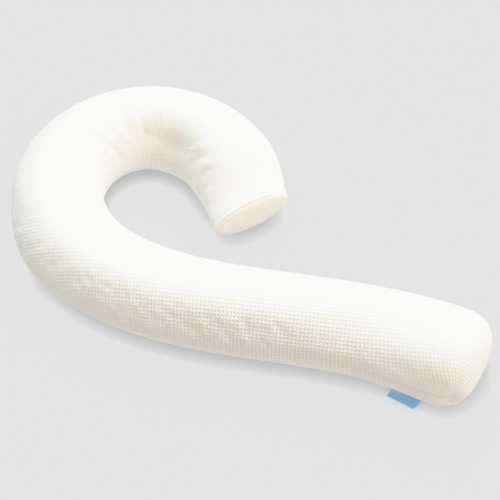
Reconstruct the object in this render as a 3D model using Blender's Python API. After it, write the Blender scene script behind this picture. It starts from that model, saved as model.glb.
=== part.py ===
"""A J-shaped body pillow: a filled tube in a waffle cotton cover that hooks round at its head.

Metres, +Z up. +X runs along the shank towards the tail and +Y towards the crown of the hook.
The origin is on the surface that the pillow lies on, under the middle of its box.
"""
from collections import namedtuple

import bmesh
import bpy
import numpy as np

# ------------------------------------------------------------------ driving dimensions, metres
LENGTH = 1.805            # along the middle of the tube, from the tail's tip to the hook's end
TAIL_HEADING = 172.5      # degrees from +X: the way the tube sets off from its tail
SHANK_STEP = 0.024        # spacing of the cross-sections along the shank
HOOK_STEP = 0.015         # and round the hook, where the cover gathers
HOOK_START = 0.700        # where the closer spacing starts
LINE_POINTS = 900         # that the middle line is worked out at

# The filled tube, a row for each cross-section. bend is in degrees a metre, + towards the
# hook's inner side, and runs evenly from row to row. width and height blend smoothly.
Section = namedtuple("Section", "along bend width height")
SECTIONS = (
    Section(0.00, -55, 0.206, 0.172),
    Section(0.20, -45, 0.196, 0.172),
    Section(0.40, -10, 0.195, 0.168),
    Section(0.60, 50, 0.198, 0.166),
    Section(0.76, 110, 0.203, 0.168),
    Section(0.87, 170, 0.209, 0.168),
    Section(0.98, 210, 0.213, 0.170),
    Section(1.10, 270, 0.206, 0.170),
    Section(1.25, 290, 0.204, 0.172),
    Section(1.40, 280, 0.207, 0.172),
    Section(1.55, 255, 0.213, 0.170),
    Section(1.66, 185, 0.216, 0.167),
    Section(1.75, 85, 0.220, 0.163),
    Section(1.85, -15, 0.220, 0.160),
)

# Across the tube: a low, full crown on a belly that the weight has pressed flat underneath.
WIDEST = 0.46             # the widest level, as a part of the height
CROWN_POWER = 2.15        # superellipse powers: 2 is an ellipse, more is squarer
BELLY_POWER = 2.6
PRESSED = 0.003           # how far the belly would pass below the surface if it weren't flat
SEAM_ANGLE = 40.0         # the side seam lies this many degrees under the widest level
SEAM_DRAW = 0.003         # the stitches draw the cover in this far
SEAM_FADE = (0.03, 0.05)  # lengths over which that starts, at the tail's tip and at the rim
CROWN_FACETS = 30         # round the top, from seam to seam
BELLY_FACETS = 10         # and under the belly

# The tail's end: a soft pillow end whose seam runs low, with two corners.
TAIL_DOME = 0.093         # length over which it rounds off
TAIL_PLAN_POWER = 3.2     # its outline from above
TAIL_SIDE_POWER = 2.9     # its outline from the side
TAIL_SEAM = 0.026         # height of its seam
TAIL_POWER = 1.95         # superellipse power of the cross-sections at its tip
TAIL_SLANT = -6.0         # degrees: the far corner reaches further out than the near one
TAIL_SLANT_ZONE = 0.25    # length over which the slant dies out
TAIL_RINGS = 9            # cross-sections of the rounded end, spread by angle from
TAIL_FIRST_RING = 12.0    # this many degrees to 90

# The hook's end: the tube runs down to an oval panel that is set into a sewn rim.
MOUTH_ZONE = 0.160        # length over which the tube narrows and sinks
MOUTH_WIDTH = 0.190       # over the rim
MOUTH_TOP = 0.112
MOUTH_BOTTOM = 0.016
MOUTH_SLANT = 17.0        # degrees: the end faces a little away from the hook's inside
RIM = 0.007               # radius of the rolled rim round the panel
LIP_TURN = 130.0          # degrees that the rim rolls round before it meets the seat
LIP_STEPS = (30.0, 60.0, 90.0, LIP_TURN)
SEAT_DEPTH = 0.003        # the panel's seat lies this far back from the rim's lip
SEAT_BULGE = 0.010        # the filling pushes the seat's middle out
SEAT_PARTS = (1.0, 0.80, 0.55, 0.28)   # its rings, as parts of the oval
PANEL = 0.002             # thickness of the end panel
PANEL_SIZE = 0.99         # of the seat's oval, so that its edge clears the lip
GAP = 0.0003              # between pieces that touch

# The side label: a folded tape in the near side's seam, drooping to the surface.
LABEL_START = 0.099       # from the tail's tip
LABEL_WIDTH = 0.068       # along the seam
LABEL_THICK = 0.0012
LABEL_REACH = (0.022, 0.010)   # how far it lies out from the seam, at its tail and hook sides
LABEL_SWING = 15.0        # degrees that it turns towards the hook
LABEL_ROOT = 0.0010       # clearance between its root and the seam
LABEL_COLUMNS = 5         # points along its width
# How the tape runs, in parts: of its reach, and of the fall from the seam to the surface.
LabelPoint = namedtuple("LabelPoint", "out fallen")
LABEL_RUN = (
    LabelPoint(0.00, 0.00),
    LabelPoint(0.12, 0.30),
    LabelPoint(0.25, 0.58),
    LabelPoint(0.42, 0.82),
    LabelPoint(0.62, 0.96),
    LabelPoint(0.80, 1.00),
    LabelPoint(1.00, 1.00),
)

# Creases in the cover, each from one point of the tube to another. along is from the tail's
# tip. angle goes round the cross-section: 0 is the shank's near side, 90 the top and 180 the
# hook's inner side. A depth below zero is a ridge.
Crease = namedtuple("Crease", "along angle to_along to_angle width depth")
CREASES = (
    # the tail's near corner: the long fold that runs into it, and the fan of its pinch
    Crease(0.400, 20, 0.150, 16, 0.020, 0.003),
    Crease(0.150, 16, 0.035, 0, 0.014, 0.005),
    Crease(0.035, 0, 0.065, 22, 0.009, 0.003),
    Crease(0.035, 0, 0.035, 30, 0.009, 0.003),
    Crease(0.035, 0, 0.017, 20, 0.008, 0.003),
    # soft dimples on the near side of the shank
    Crease(0.415, 54, 0.405, 34, 0.012, 0.002),
    Crease(0.455, 58, 0.445, 29, 0.013, 0.003),
    Crease(0.490, 60, 0.475, 32, 0.013, 0.003),
    Crease(0.515, 30, 0.500, 14, 0.012, 0.003),
    Crease(0.560, 52, 0.535, 38, 0.013, 0.003),
    Crease(0.595, 32, 0.565, 8, 0.015, 0.003),
    # the outer side where the shank turns up into the hook: a swell, then puckers
    Crease(0.970, -25, 0.905, 5, 0.065, -0.005),
    Crease(0.860, 48, 0.890, 42, 0.011, 0.003),
    Crease(0.900, 22, 0.900, 48, 0.012, -0.003),
    Crease(0.970, 0, 0.925, 42, 0.011, 0.003),
    Crease(0.950, 18, 0.925, 64, 0.010, -0.003),
    Crease(0.955, 34, 0.935, 70, 0.010, 0.004),
    Crease(0.995, 28, 0.985, 62, 0.011, 0.004),
    Crease(1.015, 10, 1.070, 30, 0.045, 0.006),
    Crease(1.130, 30, 1.110, 80, 0.016, 0.002),
    # the gathers on the hook's inner side, from the turn to the end
    Crease(1.225, 98, 1.205, 142, 0.016, 0.004),
    Crease(1.240, 134, 1.290, 173, 0.010, 0.005),
    Crease(1.245, 107, 1.305, 167, 0.009, -0.004),
    Crease(1.265, 106, 1.290, 150, 0.010, 0.004),
    Crease(1.335, 107, 1.355, 136, 0.010, 0.004),
    Crease(1.355, 107, 1.375, 131, 0.010, -0.003),
    Crease(1.340, 137, 1.355, 152, 0.009, -0.003),
    Crease(1.380, 121, 1.420, 149, 0.010, 0.005),
    Crease(1.380, 140, 1.385, 161, 0.008, 0.003),
    Crease(1.410, 102, 1.445, 142, 0.012, -0.004),
    Crease(1.455, 104, 1.525, 155, 0.024, 0.006),
    Crease(1.590, 121, 1.600, 138, 0.010, 0.004),
    Crease(1.610, 122, 1.645, 122, 0.011, -0.003),
    Crease(1.640, 148, 1.665, 116, 0.010, 0.004),
    Crease(1.680, 136, 1.685, 116, 0.009, -0.003),
    Crease(1.695, 144, 1.705, 113, 0.009, 0.004),
    Crease(1.715, 148, 1.730, 118, 0.009, 0.003),
    Crease(1.745, 176, 1.755, 138, 0.010, 0.004),
)
CREASE_POINTS = 15        # along each crease
CREASE_ENDS = 0.12        # how soft its ends are: 0 fades to nothing, 0.5 not at all

COVER = ("waffle cotton", (0.94, 0.93, 0.90, 1.0), 0.9)
PANEL_CLOTH = ("end panel cotton", (0.90, 0.87, 0.81, 1.0), 0.9)
LABEL_TAPE = ("blue label tape", (0.24, 0.42, 0.60, 1.0), 0.6)


# ------------------------------------------------------------------ the tube's own coordinates
def smooth(value):
    """0 to 1 with no kink at either end."""
    value = np.clip(value, 0.0, 1.0)
    return value * value * (3.0 - 2.0 * value)


def blend_rows(name, along):
    """A smooth value between the rows of SECTIONS (cubic, through every row)."""
    at = np.array([row.along for row in SECTIONS])
    value = np.array([getattr(row, name) for row in SECTIONS])
    slope = np.gradient(value, at)
    low = min(max(int(np.searchsorted(at, along)) - 1, 0), len(at) - 2)
    span = at[low + 1] - at[low]
    t = (along - at[low]) / span
    return (
        (2 * t**3 - 3 * t**2 + 1) * value[low]
        + (t**3 - 2 * t**2 + t) * span * slope[low]
        + (3 * t**2 - 2 * t**3) * value[low + 1]
        + (t**3 - t**2) * span * slope[low + 1]
    )


def centre_line():
    """The tube's middle seen from above: distances, headings in radians, and positions."""
    along = np.linspace(0.0, LENGTH, LINE_POINTS)
    bend = np.interp(along, [row.along for row in SECTIONS], [row.bend for row in SECTIONS])
    step = np.diff(along)
    turned = np.concatenate([[0.0], np.cumsum((bend[1:] + bend[:-1]) / 2.0 * step)])
    heading = np.radians(TAIL_HEADING - turned)
    middle = (heading[1:] + heading[:-1]) / 2.0
    x = np.concatenate([[0.0], np.cumsum(np.cos(middle) * step)])
    y = np.concatenate([[0.0], np.cumsum(np.sin(middle) * step)])
    return along, heading, x, y


LINE = centre_line()


def frame_at(along):
    """The centre, the way forward and the way out to the near side, at a distance along."""
    at, heading, x, y = LINE
    turn = np.interp(along, at, heading)
    centre = np.array([np.interp(along, at, x), np.interp(along, at, y), 0.0])
    forward = np.array([np.cos(turn), np.sin(turn), 0.0])
    outward = np.array([-np.sin(turn), np.cos(turn), 0.0])
    return centre, forward, outward


def section_shape(along):
    """Half width, the levels of top, widest point and bottom, powers and slant of a section."""
    half = blend_rows("width", along) / 2.0
    top = blend_rows("height", along)
    widest = WIDEST * top
    bottom = -PRESSED
    crown, belly, slant = CROWN_POWER, BELLY_POWER, 0.0

    if along < TAIL_DOME:
        away = 1.0 - along / TAIL_DOME
        half *= (1.0 - away**TAIL_PLAN_POWER) ** (1.0 / TAIL_PLAN_POWER)
        rise = (1.0 - away**TAIL_SIDE_POWER) ** (1.0 / TAIL_SIDE_POWER)
        top = TAIL_SEAM + (top - TAIL_SEAM) * rise
        widest = TAIL_SEAM + (widest - TAIL_SEAM) * rise
        bottom = TAIL_SEAM + (bottom - TAIL_SEAM) * rise
        flattened = away**1.5
        crown += (TAIL_POWER - crown) * flattened
        belly += (TAIL_POWER - belly) * flattened
    slant += TAIL_SLANT * smooth(1.0 - along / TAIL_SLANT_ZONE)

    end = smooth((along - LENGTH + MOUTH_ZONE) / MOUTH_ZONE)
    half += (MOUTH_WIDTH / 2.0 - half) * end
    top += (MOUTH_TOP - top) * end
    bottom += (MOUTH_BOTTOM - bottom) * end**1.5
    widest += ((top + bottom) / 2.0 - widest) * end
    crown += (2.0 - crown) * end
    belly += (2.0 - belly) * end
    slant += MOUTH_SLANT * end
    return half, top, widest, bottom, crown, belly, slant


def ring_angles():
    """Angles round a section. One facet edge lies on each side seam."""
    crown = np.linspace(-SEAM_ANGLE, 180.0 + SEAM_ANGLE, CROWN_FACETS + 1)[:-1]
    belly = np.linspace(180.0 + SEAM_ANGLE, 360.0 - SEAM_ANGLE, BELLY_FACETS + 1)[:-1]
    return np.radians(np.concatenate([crown, belly]))


def section_points(along, angles, inset=0.0, ahead=0.0):
    """Points of one cross-section, drawn in by inset and moved forward by ahead."""
    centre, forward, outward = frame_at(along)
    half, top, widest, bottom, crown, belly, slant = section_shape(along)
    cosine, sine = np.cos(angles), np.sin(angles)
    power = np.where(sine >= 0.0, crown, belly)
    reach = np.where(sine >= 0.0, top - inset - widest, widest - bottom - inset)
    side = (half - inset) * np.sign(cosine) * np.abs(cosine) ** (2.0 / power)
    level = widest + reach * np.sign(sine) * np.abs(sine) ** (2.0 / power)
    level = np.maximum(level, 0.0)
    forward_by = ahead - np.tan(np.radians(slant)) * side
    return (
        centre
        + outward * side[:, None]
        + forward * forward_by[:, None]
        + np.array([0.0, 0.0, 1.0]) * level[:, None]
    )


def stations():
    """Distances along the tube of its cross-sections, up to where the hook's rim starts."""
    turn = np.radians(np.linspace(TAIL_FIRST_RING, 90.0, TAIL_RINGS))
    dome = TAIL_DOME * (1.0 - np.cos(turn) ** (2.0 / TAIL_PLAN_POWER))
    rim_start = LENGTH - RIM
    shank = np.linspace(TAIL_DOME, HOOK_START, round((HOOK_START - TAIL_DOME) / SHANK_STEP) + 1)
    hook = np.linspace(HOOK_START, rim_start, round((rim_start - HOOK_START) / HOOK_STEP) + 1)
    return np.concatenate([dome, shank[1:], hook[1:]])


# ------------------------------------------------------------------ the pieces' surfaces
def surface_normals(rings):
    """Outward normals of the grid of rings."""
    round_it = np.roll(rings, -1, axis=1) - np.roll(rings, 1, axis=1)
    along_it = np.gradient(rings, axis=0)
    normal = np.cross(round_it, along_it)
    size = np.linalg.norm(normal, axis=2, keepdims=True)
    return normal / np.maximum(size, 1e-9)


def crease_shift(points, crease):
    """How far one crease pushes each point in: a trough with soft sides and ends."""
    t = np.linspace(0.0, 1.0, CREASE_POINTS)
    along = crease.along + (crease.to_along - crease.along) * t
    angle = np.radians(crease.angle + (crease.to_angle - crease.angle) * t)
    path = np.array([section_points(s, np.array([a]))[0] for s, a in zip(along, angle)])
    strength = np.sin(np.pi * (CREASE_ENDS + (1.0 - 2.0 * CREASE_ENDS) * t))
    apart = np.linalg.norm(points[:, :, None, :] - path, axis=3)
    nearest = apart.argmin(axis=2)
    closest = np.take_along_axis(apart, nearest[:, :, None], axis=2)[:, :, 0]
    return crease.depth * strength[nearest] * np.exp(-((closest / crease.width) ** 2))


def tube_rings():
    """The cover's surface from the tail to the rim, with its seam drawn in and its creases."""
    angles = ring_angles()
    along = stations()
    rings = np.array([section_points(s, angles) for s in along])
    normal = surface_normals(rings)
    inward = np.zeros(rings.shape[:2])
    seam_fade = smooth(along / SEAM_FADE[0]) * smooth((LENGTH - RIM - along) / SEAM_FADE[1])
    for seam in (0, CROWN_FACETS):
        inward[:, seam] += SEAM_DRAW * seam_fade
    for crease in CREASES:
        inward += crease_shift(rings, crease)
    on_surface = rings[:, :, 2] <= 0.0
    moved = rings - normal * inward[:, :, None]
    moved[:, :, 2] = np.maximum(moved[:, :, 2], 0.0)
    return np.where(on_surface[:, :, None], rings, moved)


def mouth_rings():
    """The rolled rim at the hook's end, then the seat that the end panel lies on."""
    angles = ring_angles()
    rings = []
    for turn in np.radians(LIP_STEPS):
        inset = RIM * (1.0 - np.cos(turn))
        rings.append(section_points(LENGTH - RIM, angles, inset, RIM * np.sin(turn)))
    return rings + seat_rings(SEAT_PARTS, 0.0)


def seat_rings(parts, ahead):
    """Rings of the panel's seat, as parts of its oval. Its middle bulges."""
    lip = np.radians(LIP_TURN)
    depth = RIM * np.sin(lip) - SEAT_DEPTH + ahead
    edge = section_points(LENGTH - RIM, ring_angles(), RIM * (1.0 - np.cos(lip)), depth)
    forward = frame_at(LENGTH - RIM)[1]
    middle = edge.mean(axis=0)
    knots = SEAT_PARTS + (0.0,)
    bulges = [SEAT_BULGE * (1.0 - knot * knot) for knot in knots]
    rise = np.interp(parts, knots[::-1], bulges[::-1])
    return [
        middle + (edge - middle) * part + forward * bulge for part, bulge in zip(parts, rise)
    ]


# ------------------------------------------------------------------ meshes and finishes
def material(name, colour, roughness):
    """A plain Principled finish."""
    made = bpy.data.materials.new(name)
    made.use_nodes = True
    shader = made.node_tree.nodes["Principled BSDF"]
    shader.inputs["Base Color"].default_value = colour
    shader.inputs["Roughness"].default_value = roughness
    shader.inputs["Metallic"].default_value = 0.0
    return made


def add_piece(name, shape, finish, smooth_shaded=True):
    """An object of its own, with its own finish, from a closed shape."""
    bmesh.ops.recalc_face_normals(shape, faces=shape.faces)
    bmesh.ops.triangulate(shape, faces=shape.faces)
    mesh = bpy.data.meshes.new(name)
    shape.to_mesh(mesh)
    shape.free()
    if smooth_shaded:
        mesh.shade_smooth()
    mesh.materials.append(material(*finish))
    piece = bpy.data.objects.new(name, mesh)
    bpy.context.scene.collection.objects.link(piece)
    return piece


def tube_mesh(name, rings, caps, finish):
    """A closed mesh: rings joined one to the next, and each end closed to a middle point."""
    shape = bmesh.new()
    rows = [[shape.verts.new(point) for point in ring] for ring in rings]
    for row, following in zip(rows, rows[1:]):
        for here in range(len(row)):
            there = (here + 1) % len(row)
            shape.faces.new((row[here], row[there], following[there], following[here]))
    for row, middle in ((rows[0], caps[0]), (rows[-1], caps[1])):
        hub = shape.verts.new(middle)
        for here in range(len(row)):
            shape.faces.new((row[here], row[(here + 1) % len(row)], hub))
    return add_piece(name, shape, finish)


def sheet_mesh(name, under, over, finish):
    """A closed sheet between a grid of points underneath and the same grid on top."""
    across, down = under.shape[:2]
    shape = bmesh.new()
    low = [[shape.verts.new(point) for point in column] for column in under]
    high = [[shape.verts.new(point) for point in column] for column in over]
    for i in range(across - 1):
        for j in range(down - 1):
            for grid in (low, high):
                shape.faces.new((grid[i][j], grid[i + 1][j], grid[i + 1][j + 1], grid[i][j + 1]))
    for i in range(across - 1):
        for j in (0, down - 1):
            shape.faces.new((low[i][j], low[i + 1][j], high[i + 1][j], high[i][j]))
    for j in range(down - 1):
        for i in (0, across - 1):
            shape.faces.new((low[i][j], low[i][j + 1], high[i][j + 1], high[i][j]))
    return add_piece(name, shape, finish, smooth_shaded=False)


# ------------------------------------------------------------------ the pieces
def pillow_body():
    """The filled tube: one solid from the tail's tip to the panel's seat."""
    rings = list(tube_rings()) + mouth_rings()
    tip = frame_at(0.0)[0] + np.array([0.0, 0.0, TAIL_SEAM])
    seat_middle = seat_rings((0.0,), 0.0)[0][0]
    return tube_mesh("pillow_body", rings, (tip, seat_middle), COVER)


def hook_end_panel():
    """The oval panel, a thin bulged slab on its seat."""
    parts = (PANEL_SIZE,) + SEAT_PARTS[1:]
    back = seat_rings(parts, GAP)
    front = seat_rings(parts, GAP + PANEL)
    middles = [seat_rings((0.0,), ahead)[0][0] for ahead in (GAP, GAP + PANEL)]
    return tube_mesh("hook_end_panel", back[::-1] + front, middles, PANEL_CLOTH)


def seam_bottom(along):
    """The bottom of the near side's seam, and the way straight out from it."""
    angles = np.radians(-SEAM_ANGLE + np.array([-3.0, 0.0, 3.0]))
    below, seam, above = section_points(along, angles)
    outward = np.cross(above - below, frame_at(along)[1])
    outward = outward / np.linalg.norm(outward)
    return seam - outward * SEAM_DRAW, outward


def side_label():
    """The folded tape: a thin sheet from the seam down to the surface."""
    upright = np.array([0.0, 0.0, 1.0])
    over, under = [], []
    for part in np.linspace(0.0, 1.0, LABEL_COLUMNS):
        along = LABEL_START + LABEL_WIDTH * part
        reach = LABEL_REACH[0] + (LABEL_REACH[1] - LABEL_REACH[0]) * part
        bottom, clear = seam_bottom(along)
        root = bottom + clear * LABEL_ROOT
        _, forward, outward = frame_at(along)
        swing = outward + forward * np.tan(np.radians(LABEL_SWING))
        out = reach * np.array([point.out for point in LABEL_RUN])
        fallen = (root[2] - LABEL_THICK) * np.array([point.fallen for point in LABEL_RUN])
        top = root + out[:, None] * swing - fallen[:, None] * upright
        slope = np.gradient(np.stack([out, -fallen], axis=1), axis=0)
        slope /= np.linalg.norm(slope, axis=1, keepdims=True)
        facing = -slope[:, 1:] * outward + slope[:, :1] * upright
        over.append(top)
        under.append(top - facing * LABEL_THICK)
    return sheet_mesh("side_label", np.array(under), np.array(over), LABEL_TAPE)


def centre_on_origin(pieces):
    """Move the meshes so that the middle of the whole box's underside is the origin."""
    points = np.array([vertex.co for piece in pieces for vertex in piece.data.vertices])
    low, high = points.min(axis=0), points.max(axis=0)
    shift = np.array([-(low[0] + high[0]) / 2.0, -(low[1] + high[1]) / 2.0, 0.0])
    for piece in pieces:
        for vertex in piece.data.vertices:
            vertex.co = [vertex.co[axis] + shift[axis] for axis in range(3)]


def main():
    for old in list(bpy.data.objects):
        bpy.data.objects.remove(old, do_unlink=True)
    centre_on_origin([pillow_body(), hook_end_panel(), side_label()])


main()
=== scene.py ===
# %% [markdown]
# # A J-shaped body pillow
#
# The object is a body pillow: one long tube of waffle cotton, filled tight, that hooks round at
# its head. The cover is cut flat as two J-shaped panels, a top and a belly, and they are sewn
# together along a low seam. An oval panel closes the hook's end, and a folded blue tape label is
# caught in the seam near the tail.
#
# The solid model gives the true sizes, and each solid is replaced here by a piece of cloth in
# the same place. The order is: the camera, the tube's own coordinates, the cover (filled by a
# cloth simulation, laid out flat for its weave, then folded and sewn), the end panel, the label,
# the materials, the floor, the light, and last the camera's response.

import math
from collections import namedtuple

import bmesh
import bpy
import numpy as np
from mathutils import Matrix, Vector, noise
from mathutils.bvhtree import BVHTree
from mathutils.kdtree import KDTree


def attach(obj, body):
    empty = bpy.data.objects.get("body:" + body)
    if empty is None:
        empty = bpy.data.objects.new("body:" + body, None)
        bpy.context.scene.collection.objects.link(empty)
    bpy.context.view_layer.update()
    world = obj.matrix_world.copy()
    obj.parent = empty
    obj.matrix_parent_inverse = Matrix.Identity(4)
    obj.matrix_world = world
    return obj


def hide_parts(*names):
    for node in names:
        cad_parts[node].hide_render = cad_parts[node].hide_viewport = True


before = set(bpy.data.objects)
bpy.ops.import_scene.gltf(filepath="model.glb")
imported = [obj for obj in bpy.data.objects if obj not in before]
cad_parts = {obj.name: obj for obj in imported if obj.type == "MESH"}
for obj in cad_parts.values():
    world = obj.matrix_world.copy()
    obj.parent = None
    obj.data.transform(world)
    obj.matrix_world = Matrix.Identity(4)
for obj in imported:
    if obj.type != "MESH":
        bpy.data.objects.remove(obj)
scene = bpy.context.scene
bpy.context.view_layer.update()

# %% [markdown]
# ## The camera
#
# The pillow is seen from about two metres away, looking down at a bit over fifty degrees, from a
# direction that is turned nineteen degrees from the shank's side. A long lens could show the
# same outline from further away, but then the tail, which is nearest, would look too small next
# to the hook. So the distance is part of the likeness, and the lens follows from it.

# %% Place the camera
LOOK_AT = Vector((0.0019, -0.0047, 0.0))
LOOK_TURN = math.radians(18.58)  # of the viewing direction, seen from above
LOOK_DOWN = math.radians(52.63)
LOOK_DISTANCE = 2.07
LENS = 64.8  # millimetres, on the usual 36 mm wide sensor

level = math.cos(LOOK_DOWN)
looking = Vector(
    (-math.sin(LOOK_TURN) * level, math.cos(LOOK_TURN) * level, -math.sin(LOOK_DOWN))
)
camera = bpy.data.objects.new("camera", bpy.data.cameras.new("camera"))
camera.data.lens = LENS
camera.location = LOOK_AT - looking * LOOK_DISTANCE
camera.rotation_euler = looking.to_track_quat("-Z", "Y").to_euler()
scene.collection.objects.link(camera)
scene.camera = camera
print("camera at", [round(value, 3) for value in camera.location])

# %% [markdown]
# ## Small helpers
#
# An operator acts on everything that is selected, and the solids are still selected after the
# frame is loaded, so each operator call starts from a clean selection. Vertex positions are read
# and written all at once as an array, which is many times faster than one by one.


# %% Select one object, and read and write its points
SAME_POINT = 0.00001  # points nearer than this are one point


def pick(piece):
    """Select this piece alone and make it active."""
    bpy.ops.object.select_all(action="DESELECT")
    piece.select_set(True)
    bpy.context.view_layer.objects.active = piece


def read(items, field, width=1, kind=float):
    """One field of every point, face or corner, as an array."""
    values = np.empty(len(items) * width, kind)
    items.foreach_get(field, values)
    return values.reshape(-1, width) if width > 1 else values


def points_of(piece):
    return read(piece.data.vertices, "co", 3)


def normals_of(piece):
    return read(piece.data.vertex_normals, "vector", 3)


def set_points(piece, points):
    piece.data.vertices.foreach_set("co", np.ascontiguousarray(points).ravel())
    piece.data.update()


def set_all(item, **settings):
    for name, value in settings.items():
        setattr(item, name, value)


def push_in(piece, inward):
    """Move each point in along its own normal by its own distance, but not below the floor."""
    moved = points_of(piece) - normals_of(piece) * inward[:, None]
    moved[:, 2] = np.maximum(moved[:, 2], 0.0)
    set_points(piece, moved)


def clean(piece):
    """Join the points that lie in one place, then turn every face outwards."""
    pick(piece)
    bpy.ops.object.mode_set(mode="EDIT")
    bpy.ops.mesh.select_all(action="SELECT")
    bpy.ops.mesh.remove_doubles(threshold=SAME_POINT)
    bpy.ops.mesh.normals_make_consistent(inside=False)
    bpy.ops.object.mode_set(mode="OBJECT")


def add_modifier(piece, kind, **settings):
    """Add one modifier with its settings, and apply it."""
    modifier = piece.modifiers.new(kind.title(), kind)
    set_all(modifier, **settings)
    pick(piece)
    bpy.ops.object.modifier_apply(modifier=modifier.name)


# %% Store a piece's flat cloth as its UV map
def corners_of(piece):
    """Which point each corner of each face is. A UV map is stored by corner."""
    return read(piece.data.loops, "vertex_index", kind=np.int64)


def write_map(piece, name, places):
    """Name the piece's UV map, and store each corner's place on the flat cloth in it."""
    maps = piece.data.uv_layers
    chosen = maps[0] if maps else maps.new()
    chosen.name = name
    chosen.data.foreach_set("uv", np.ascontiguousarray(places).ravel())


# %% A soft change from one place to another, and running totals
def ramp(value, start, end):
    """0 up to the start, 1 from the end on, and a smooth rise between them."""
    share = np.clip((value - start) / (end - start), 0.0, 1.0)
    return share * share * (3.0 - 2.0 * share)


def added_up(steps):
    """The running total of some steps, starting at 0."""
    return np.concatenate([[0.0], np.cumsum(steps)])


# %% [markdown]
# ## The tube's own coordinates
#
# Folds, seams and the weave all follow the tube, so they need its own coordinates: how far a
# point is along the middle line from the tail, and how far round. The middle line is described
# as a tailor would walk it: start at the tail, and at each distance turn by so many degrees a
# metre. Adding those turns up gives the whole J, and any point can then be asked which part of
# the line it is nearest to.

# %% The middle line of the J
LENGTH = 1.805  # from the tail's tip to the rim at the hook's end
TAIL_HEADING = 172.5  # degrees from +X
MIDDLE_SHIFT = (0.5576, -0.1936)  # puts the middle of the pillow on the origin
RIM = 0.007  # the sewn rim past the last full section
LINE_POINTS = 900  # that the middle line is worked out at
Section = namedtuple("Section", "along bend width height")
SECTIONS = [Section(*row) for row in (
    (0.00, -55, 0.206, 0.172), (0.20, -45, 0.196, 0.172), (0.40, -10, 0.195, 0.168),
    (0.60, 50, 0.198, 0.166), (0.76, 110, 0.203, 0.168), (0.87, 170, 0.209, 0.168),
    (0.98, 210, 0.213, 0.170), (1.10, 270, 0.206, 0.170), (1.25, 290, 0.204, 0.172),
    (1.40, 280, 0.207, 0.172), (1.55, 255, 0.213, 0.170), (1.66, 185, 0.216, 0.167),
    (1.75, 85, 0.220, 0.163), (1.85, -15, 0.220, 0.160),
)]
row_at = [row.along for row in SECTIONS]
line_along = np.linspace(0.0, LENGTH, LINE_POINTS)
line_bend = np.interp(line_along, row_at, [row.bend for row in SECTIONS])
line_step = np.diff(line_along)
line_turned = added_up((line_bend[1:] + line_bend[:-1]) / 2 * line_step)
line_heading = np.radians(TAIL_HEADING - line_turned)
half_way = (line_heading[1:] + line_heading[:-1]) / 2
line_x = MIDDLE_SHIFT[0] + added_up(np.cos(half_way) * line_step)
line_y = MIDDLE_SHIFT[1] + added_up(np.sin(half_way) * line_step)
line_xy = np.stack([line_x, line_y], axis=1)
line_forward = np.stack([np.cos(line_heading), np.sin(line_heading)], axis=1)
line_side = np.stack([-np.sin(line_heading), np.cos(line_heading)], axis=1)
print("the hook's end is at", line_xy[-1].round(3))

# %% [markdown]
# A cross-section is a soft, low oval that is pressed flat underneath. An angle goes round it: 0
# is the shank's near side, 90 the top and 180 the hook's inner side. The seam lies forty degrees
# below the widest level on both sides.

# %% Points in tube coordinates, and back
WIDEST = 0.46  # the widest level, as a part of the height
SEAM_ANGLE = -40.0
TAIL_DOME = 0.093  # the tail rounds off over this length
TAIL_SEAM_HEIGHT = 0.026
TAIL_SLANT = -6.0  # degrees: the tail is cut a little askew
SLANT_TO = 0.25  # and this far along the tube it is square again


def at_line(values, along):
    """A value of the middle line at distances along it."""
    if values.ndim == 1:
        return np.interp(along, line_along, values)
    return np.stack([np.interp(along, line_along, column) for column in values.T], axis=-1)


def off_line(along, side):
    """The places at distances along the line and offsets to its side."""
    return at_line(line_xy, along) + at_line(line_side, along) * side[:, None]


def section_size(along):
    """Half width and height of the section there, before the ends round off."""
    width = np.interp(along, row_at, [row.width for row in SECTIONS])
    height = np.interp(along, row_at, [row.height for row in SECTIONS])
    return width / 2, height


def near_surface(along, angle):
    """A point close to the cover at tube coordinates. It is then moved onto the cloth."""
    half, top = section_size(along)
    turn = np.radians(angle)
    widest = WIDEST * top
    reach = np.where(np.sin(turn) > 0, top - widest, widest)
    place = off_line(along, half * np.cos(turn))
    return np.column_stack([place, widest + reach * np.sin(turn)])


def search_tree(places):
    """A tree that finds the nearest of some places quickly."""
    tree = KDTree(len(places))
    for index, place in enumerate(places):
        tree.insert(place, index)
    tree.balance()
    return tree


def distance_to(places, points, near):
    """How far each of the near points is from the closest place. All others get a metre."""
    tree = search_tree(places)
    distance = np.full(len(points), 1.0)
    distance[near] = [tree.find(point)[2] for point in points[near]]
    return distance


line_tree = search_tree([(x, y, 0.0) for x, y in line_xy])


def tube_coordinates(points):
    """Distance along, side offset and height of points near the cover."""
    nearest = [line_tree.find((x, y, 0.0))[1] for x, y in points[:, :2]]
    away = points[:, :2] - line_xy[nearest]
    side = (away * line_side[nearest]).sum(axis=1)
    past_it = (away * line_forward[nearest]).sum(axis=1)
    along = line_along[nearest] + past_it / (1 + np.radians(line_bend[nearest]) * side)
    slant = TAIL_SLANT * ramp(along, SLANT_TO, 0.0)
    along = np.clip(along + np.tan(np.radians(slant)) * side, 0.0, LENGTH)
    return along, side, points[:, 2]


# %% [markdown]
# ## The cover, filled
#
# The cover could be modelled as a smooth tube, but a filled cover is never quite smooth: the
# filling pushes everywhere and the cloth gives unevenly. So the solid's skin is copied, meshed
# again in small even squares, drawn in by a few millimetres and blown up again as cloth with
# pressure inside. On the inner side of the hook there is more cloth than the bend needs, which
# is what gathers there, so that part of the cloth is told to grow. The mouth is held where it
# is, because the end panel is sewn to it.

# %% Copy the solid's skin and mesh it evenly
CLOTH_SQUARE = 0.005  # spacing of the mesh, finer than the folds

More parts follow.
